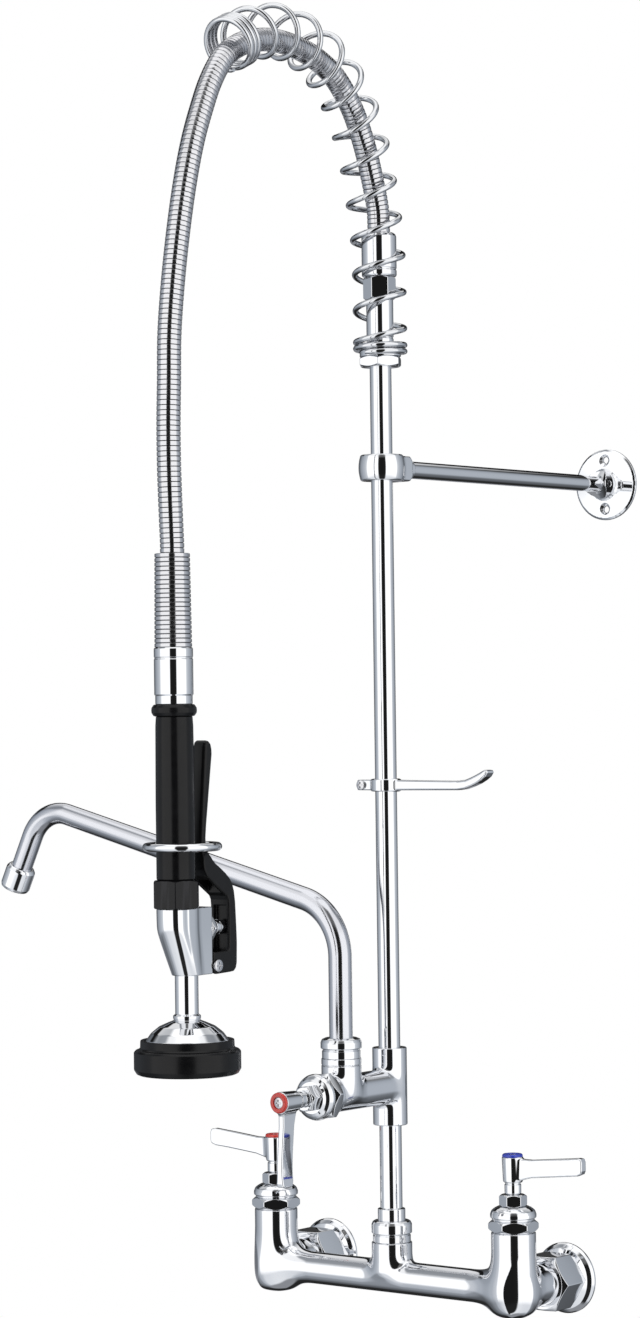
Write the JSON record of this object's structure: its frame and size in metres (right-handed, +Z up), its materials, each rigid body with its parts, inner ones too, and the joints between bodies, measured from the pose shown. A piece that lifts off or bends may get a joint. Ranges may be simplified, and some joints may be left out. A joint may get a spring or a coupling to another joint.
{
  "type": "pre-rinse faucet",
  "caption": "Wall-mounted pre-rinse faucet with mixing body, add-on swing spout, riser, overhead spring with hose and squeeze spray valve.",
  "frame": {"origin": "midway between the two inlet axes, on the wall plane where the wall flanges rest", "axes": "+X right as the user faces the faucet, +Y into the wall along the inlets, +Z up along the riser"},
  "size_m": [0.465, 0.5292, 0.8818],
  "materials": {
    "chrome": "polished chrome plate on brass",
    "cast_chrome": "chrome plate on a cast body, soft edges",
    "spring_chrome": "plated round spring wire",
    "hose_steel": "ribbed stainless steel hose",
    "steel": "machined stainless steel",
    "brass": "machined brass",
    "grip_plastic": "satin black moulded plastic",
    "lever_plastic": "fine-grained black moulded plastic",
    "rubber": "black moulded rubber",
    "index_red": "gloss red",
    "index_blue": "gloss blue"
  },
  "bodies": {
    "base": {"faucet_body": "cast_chrome", "left_union_nut": "chrome", "right_union_nut": "chrome", "wall_flanges": "chrome", "inlet_adapters": "brass", "union_washers": "rubber", "hot_bonnet": "chrome", "cold_bonnet": "chrome", "addon_bonnet": "chrome", "packing_nuts": "chrome", "cartridges": "brass", "column_nut": "chrome", "lower_riser": "chrome", "addon_body": "cast_chrome", "spout_nut": "chrome", "riser_tube": "chrome", "bracket_clamp": "chrome", "bracket_arm": "chrome", "bracket_flange": "chrome", "bracket_set_screws": "steel"},
    "hot_lever": {"hot_stem": "chrome", "hot_handle": "chrome", "hot_index": "index_red", "hot_screw": "steel"},
    "cold_lever": {"cold_stem": "chrome", "cold_handle": "chrome", "cold_index": "index_blue", "cold_screw": "steel"},
    "addon_lever": {"addon_stem": "chrome", "addon_handle": "chrome", "addon_index": "index_red", "addon_screw": "steel"},
    "spout": {"spout_tube": "chrome", "spout_tip": "chrome"},
    "hook": {"spray_hook": "chrome", "hook_screw": "steel"},
    "turret": {"spring_nut": "chrome", "swivel_sleeve": "chrome", "hose_adapter": "chrome", "hose_ferrule": "chrome"},
    "overhead": {"overhead_spring": "spring_chrome", "hose_arch": "hose_steel"},
    "hanging_hose": {"hose_drop": "hose_steel", "hose_tail": "hose_steel"},
    "handset": {"hose_sleeve": "hose_steel", "grip_ferrule": "chrome", "grip_ring": "grip_plastic", "grip": "grip_plastic", "grip_nut": "grip_plastic", "valve_body": "chrome", "valve_bonnet": "chrome", "pivot_screw": "steel", "spray_head": "chrome", "spray_bumper": "rubber", "spray_plate": "steel", "valve_spring": "steel"},
    "squeeze_lever": {"squeeze_lever": "lever_plastic"},
    "plunger": {"valve_plunger": "chrome"},
    "hold_ring": {"hold_ring": "chrome"}
  },
  "joints": [
    {"name": "hot_handle_turn", "type": "hinge", "parent": "base", "child": "hot_lever", "pos_m": [-0.1016, -0.062, 0.08], "axis": [0, 0, 1], "range_deg": [0, 90]},
    {"name": "cold_handle_turn", "type": "hinge", "parent": "base", "child": "cold_lever", "pos_m": [0.1016, -0.062, 0.08], "axis": [0, 0, 1], "range_deg": [-90, 0]},
    {"name": "addon_handle_turn", "type": "hinge", "parent": "base", "child": "addon_lever", "pos_m": [0, -0.17, 0.1305], "axis": [0, -1, 0], "range_deg": [0, 90]},
    {"name": "spout_swing", "type": "hinge", "parent": "base", "child": "spout", "pos_m": [0, -0.116, 0.16], "axis": [0, 0, 1], "range_deg": [-17, 75]},
    {"name": "hook_turn", "type": "hinge", "parent": "base", "child": "hook", "pos_m": [0, -0.062, 0.3366], "axis": [0, 0, 1], "range_deg": [-60, 60]},
    {"name": "overhead_turn", "type": "hinge", "parent": "base", "child": "turret", "pos_m": [0, -0.062, 0.65], "axis": [0, 0, 1], "range_deg": [-20, 60]},
    {"name": "overhead_flex", "type": "hinge", "parent": "turret", "child": "overhead", "pos_m": [0, -0.067, 0.75], "axis": [1, 0, 0], "range_deg": [0, 30], "stiffness_Nm_per_rad": 8, "springref_deg": -40.11, "deforming": ["overhead_spring", "hose_arch"]},
    {"name": "hose_hang", "type": "hinge", "parent": "overhead", "child": "hanging_hose", "pos_m": [0, -0.232, 0.807], "axis": [1, 0, 0], "range_deg": [-30, 0], "deforming": ["hose_drop"]},
    {"name": "handset_swing", "type": "hinge", "parent": "hanging_hose", "child": "handset", "pos_m": [0, -0.282, 0.545], "axis": [1, 0, 0], "range_deg": [-30, 12], "deforming": ["hose_tail"]},
    {"name": "lever_squeeze", "type": "hinge", "parent": "handset", "child": "squeeze_lever", "pos_m": [0, -0.255, 0.226], "axis": [1, 0, 0], "range_deg": [0, 4], "stiffness_Nm_per_rad": 2.5, "springref_deg": -6.88},
    {"name": "plunger_press", "type": "slide", "parent": "handset", "child": "plunger", "axis": [0, -1, 0], "range_m": [0, 0.0018], "deforming": ["valve_spring"]},
    {"name": "hold_ring_slide", "type": "slide", "parent": "handset", "child": "hold_ring", "axis": [0, 0, 1], "range_m": [0, 0.009]}
  ],
  "couplings": [
    {"joint": "hose_hang", "follows": "overhead_flex", "ratio": -1},
    {"joint": "plunger_press", "follows": "lever_squeeze", "m_per_rad": 0.024}
  ]
}
